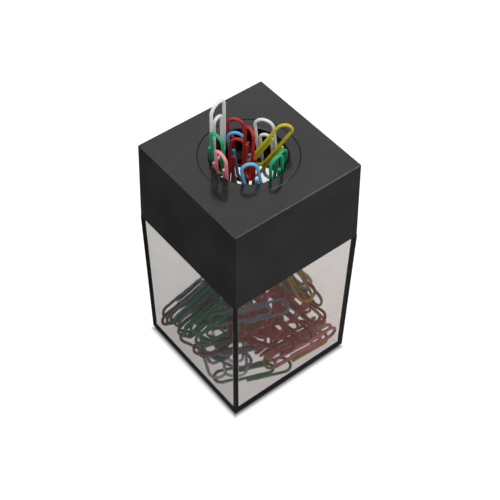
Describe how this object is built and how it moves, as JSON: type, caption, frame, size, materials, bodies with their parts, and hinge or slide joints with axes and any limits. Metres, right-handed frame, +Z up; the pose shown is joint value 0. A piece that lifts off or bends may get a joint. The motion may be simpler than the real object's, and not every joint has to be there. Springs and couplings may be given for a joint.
{
  "type": "magnetic paper clip holder",
  "caption": "Square clear box with a black cap and a magnetic round throat that holds coated wire paper clips upright, with more clips lying loose in the box.",
  "frame": {"origin": "on the desk, under the middle of the square box", "axes": "+Z up through the throat, +X and +Y square to the box's sides"},
  "size_m": [0.0524, 0.0524, 0.1167],
  "materials": {
    "clear_plastic": "polished, clear, lightly smoked",
    "black_plastic": "satin",
    "magnet": "ground, dark grey ferrite",
    "coated_wire_red": "glossy plastic coating",
    "coated_wire_pink": "glossy plastic coating",
    "coated_wire_blue": "glossy plastic coating",
    "coated_wire_green": "glossy plastic coating",
    "coated_wire_yellow": "glossy plastic coating",
    "coated_wire_white": "glossy plastic coating"
  },
  "bodies": {
    "box": {"box": "clear_plastic", "loose_clips_red": "coated_wire_red", "loose_clips_pink": "coated_wire_pink", "loose_clips_blue": "coated_wire_blue", "loose_clips_green": "coated_wire_green", "loose_clips_yellow": "coated_wire_yellow", "loose_clips_white": "coated_wire_white"},
    "cap": {"cap": "black_plastic", "throat_ring": "black_plastic", "ring_magnet": "magnet", "magnet_retainer": "black_plastic"},
    "clip_red_back": {"throat_clip_red_back": "coated_wire_red"},
    "clip_blue_back": {"throat_clip_blue_back": "coated_wire_blue"},
    "clip_white_right": {"throat_clip_white_right": "coated_wire_white"},
    "clip_white_left": {"throat_clip_white_left": "coated_wire_white"},
    "clip_green_left": {"throat_clip_green_left": "coated_wire_green"},
    "clip_pink_front": {"throat_clip_pink_front": "coated_wire_pink"},
    "clip_blue_front": {"throat_clip_blue_front": "coated_wire_blue"},
    "clip_green_right": {"throat_clip_green_right": "coated_wire_green"},
    "clip_yellow": {"throat_clip_yellow": "coated_wire_yellow"},
    "clip_green_far": {"throat_clip_green_far": "coated_wire_green"},
    "clip_red_low": {"throat_clip_red_low": "coated_wire_red"},
    "clip_red_middle": {"throat_clip_red_middle": "coated_wire_red"}
  },
  "joints": [
    {"name": "cap_lift", "type": "slide", "parent": "box", "child": "cap", "axis": [0, 0, 1], "range_m": [0, 0.04]},
    {"name": "pull_red_back", "type": "slide", "parent": "cap", "child": "clip_red_back", "axis": [-0.0252, 0.0834, 0.9962], "range_m": [0, 0.023]},
    {"name": "pull_blue_back", "type": "slide", "parent": "cap", "child": "clip_blue_back", "axis": [-0.0759, 0.0999, 0.9921], "range_m": [0, 0.0265]},
    {"name": "pull_white_right", "type": "slide", "parent": "cap", "child": "clip_white_right", "axis": [-0.0836, 0.0521, 0.9951], "range_m": [0, 0.0208]},
    {"name": "pull_white_left", "type": "slide", "parent": "cap", "child": "clip_white_left", "axis": [-0.0624, -0.0907, 0.9939], "range_m": [0, 0.0081]},
    {"name": "pull_green_left", "type": "slide", "parent": "cap", "child": "clip_green_left", "axis": [-0.1338, -0.0619, 0.9891], "range_m": [0, 0.0154]},
    {"name": "pull_pink_front", "type": "slide", "parent": "cap", "child": "clip_pink_front", "axis": [-0.1419, -0.1525, 0.9781], "range_m": [0, 0.0188]},
    {"name": "pull_blue_front", "type": "slide", "parent": "cap", "child": "clip_blue_front", "axis": [-0.1578, 0.0745, 0.9847], "range_m": [0, 0.0224]},
    {"name": "pull_green_right", "type": "slide", "parent": "cap", "child": "clip_green_right", "axis": [-0.1343, -0.1177, 0.9839], "range_m": [0, 0.0217]},
    {"name": "pull_yellow", "type": "slide", "parent": "cap", "child": "clip_yellow", "axis": [0.3734, -0.3383, 0.8638], "range_m": [0, 0.0194]},
    {"name": "pull_green_far", "type": "slide", "parent": "cap", "child": "clip_green_far", "axis": [-0.0028, -0.0871, 0.9962], "range_m": [0, 0.0249]},
    {"name": "pull_red_low", "type": "slide", "parent": "cap", "child": "clip_red_low", "axis": [0.0803, 0.038, 0.996], "range_m": [0, 0.0262]},
    {"name": "pull_red_middle", "type": "slide", "parent": "cap", "child": "clip_red_middle", "axis": [0.0692, 0.036, 0.997], "range_m": [0, 0.0177]}
  ]
}
